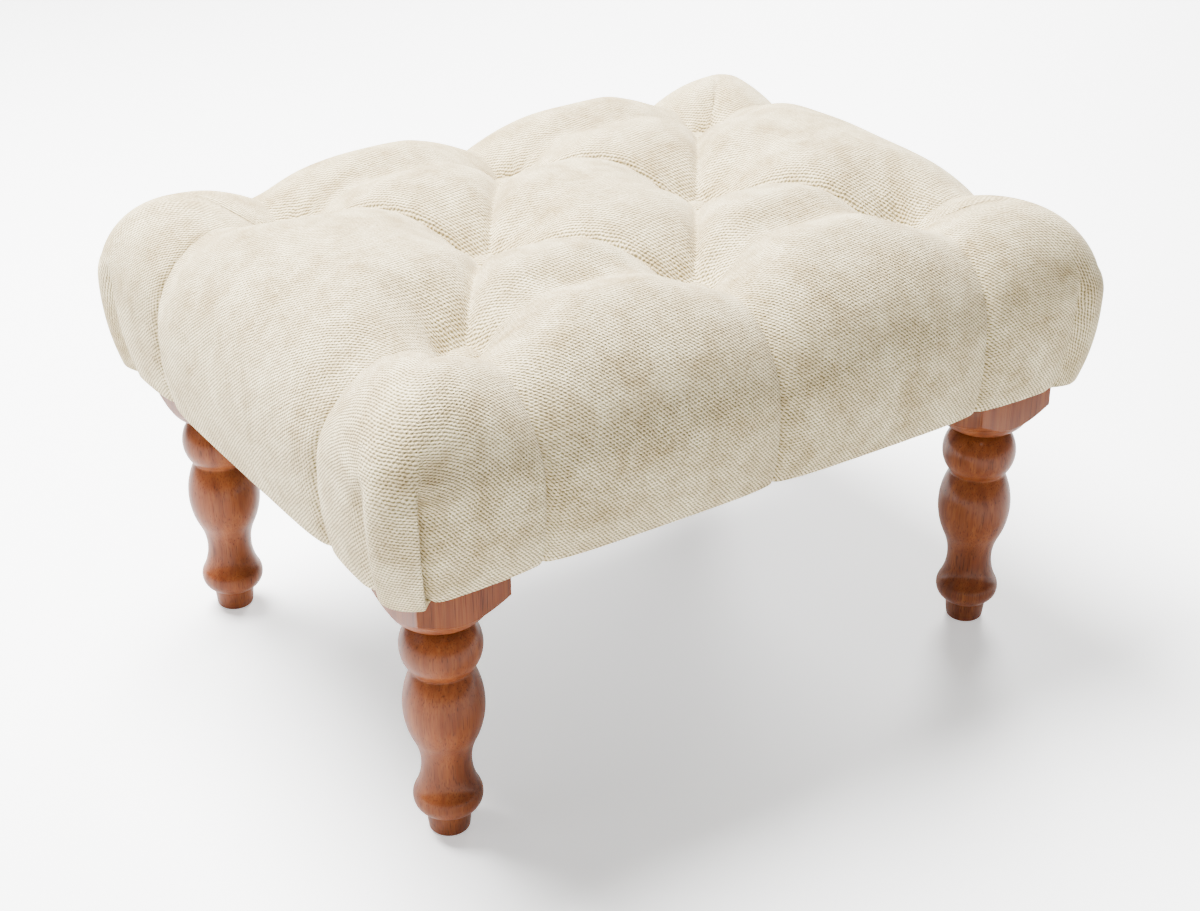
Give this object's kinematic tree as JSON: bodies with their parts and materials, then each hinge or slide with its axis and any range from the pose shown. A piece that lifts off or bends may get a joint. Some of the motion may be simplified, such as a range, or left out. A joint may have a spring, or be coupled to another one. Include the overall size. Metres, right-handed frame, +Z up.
{
  "type": "tufted footstool",
  "caption": "Rectangular deep-buttoned footstool with a cream woven cover, tufted diamonds and pleated edges, on turned wooden legs.",
  "frame": {"origin": "on the floor, below the middle of the seat", "axes": "+X along the long side of the seat, +Y to the rear, +Z up; the front faces -Y"},
  "size_m": [0.5596, 0.4296, 0.342],
  "materials": {
    "upholstery_fabric": "woven chenille, cream",
    "stained_wood": "reddish-brown stain under satin lacquer",
    "frame_timber": "planed softwood, unfinished",
    "plywood": "sanded birch plywood, unfinished",
    "plated_steel": "zinc plated",
    "foam": "open-cell polyurethane foam",
    "wadding": "bonded polyester fibre",
    "twine": "waxed flax",
    "black_cloth": "spun-bonded cloth"
  },
  "bodies": {
    "root": {"front_rail": "frame_timber", "rear_rail": "frame_timber", "left_rail": "frame_timber", "right_rail": "frame_timber", "front_left_corner_block": "frame_timber", "front_right_corner_block": "frame_timber", "rear_left_corner_block": "frame_timber", "rear_right_corner_block": "frame_timber", "seat_board": "plywood", "turned_legs": "stained_wood", "leg_bolts": "plated_steel", "leg_nuts": "plated_steel", "seat_foam": "foam", "wadding": "wadding", "tufted_cover": "upholstery_fabric", "cover_buttons": "upholstery_fabric", "button_twines": "twine", "dust_cover": "black_cloth"}
  },
  "joints": []
}
